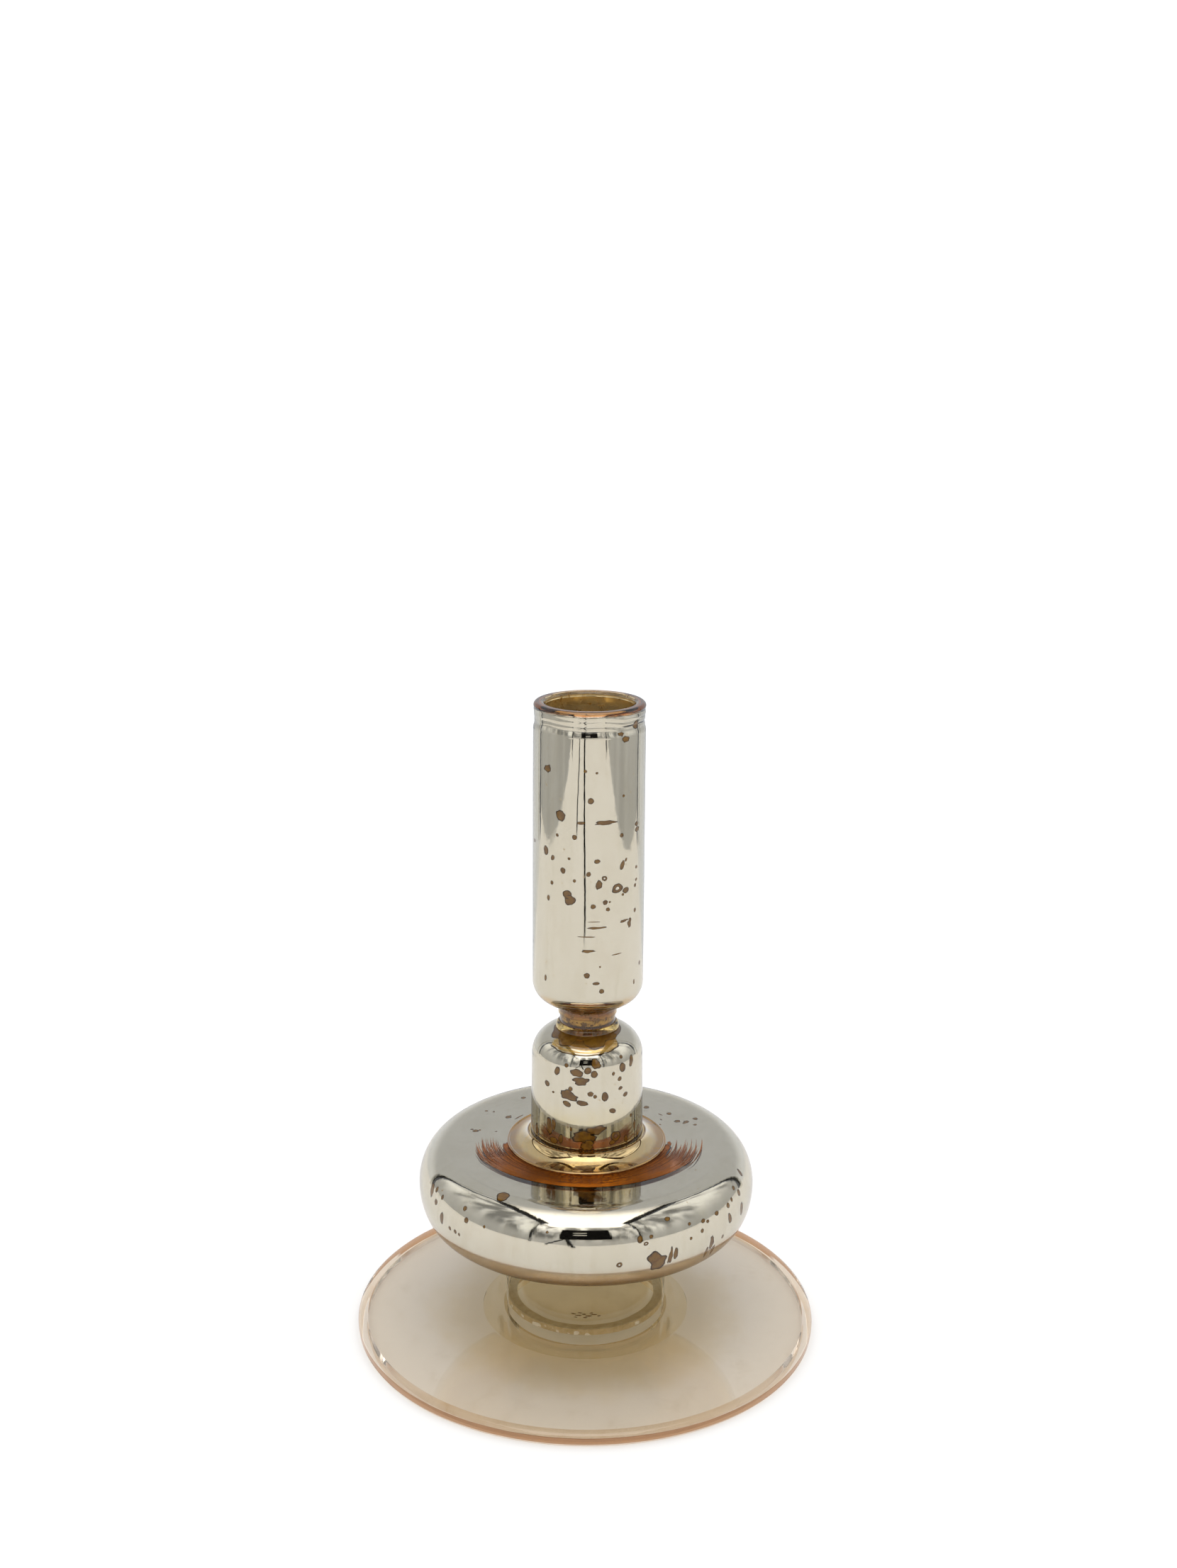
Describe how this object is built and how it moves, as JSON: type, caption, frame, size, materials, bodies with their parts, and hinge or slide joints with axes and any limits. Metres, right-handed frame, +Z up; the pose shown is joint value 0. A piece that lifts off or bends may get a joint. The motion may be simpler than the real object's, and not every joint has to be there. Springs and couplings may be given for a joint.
{
  "type": "candlestick",
  "caption": "Blown silvered-glass candlestick: tall double-walled candle tube on a domed drum, a flattened bulb, a hollow clear stem and a wide clear foot with a folded rim.",
  "frame": {"origin": "on the turning axis, on the plane that the folded rim stands on", "axes": "+Z up along the turning axis, out of the candle bore; X and Y are alike, because the shape is round"},
  "size_m": [0.1303, 0.1302, 0.1816],
  "materials": {
    "clear_glass": "gloss",
    "vessel_glass": "gloss",
    "amber_glass": "gloss",
    "seal_glass": "gloss",
    "cement": "matte",
    "silvering": "mirror",
    "worn_silvering": "worn mirror"
  },
  "bodies": {
    "root": {"foot_plate": "clear_glass", "foot_rim": "clear_glass", "stem": "clear_glass", "seal_disc": "seal_glass", "seal_cement": "cement", "bulb": "vessel_glass", "bulb_silvering": "silvering", "base_ring": "amber_glass", "drum": "vessel_glass", "drum_silvering": "silvering", "neck": "amber_glass", "neck_silvering": "worn_silvering", "neck_ring": "amber_glass", "dome_ring": "amber_glass", "candle_tube": "vessel_glass", "tube_silvering": "silvering", "candle_cup": "amber_glass", "cup_silvering": "worn_silvering", "mouth_lip": "amber_glass"}
  },
  "joints": []
}
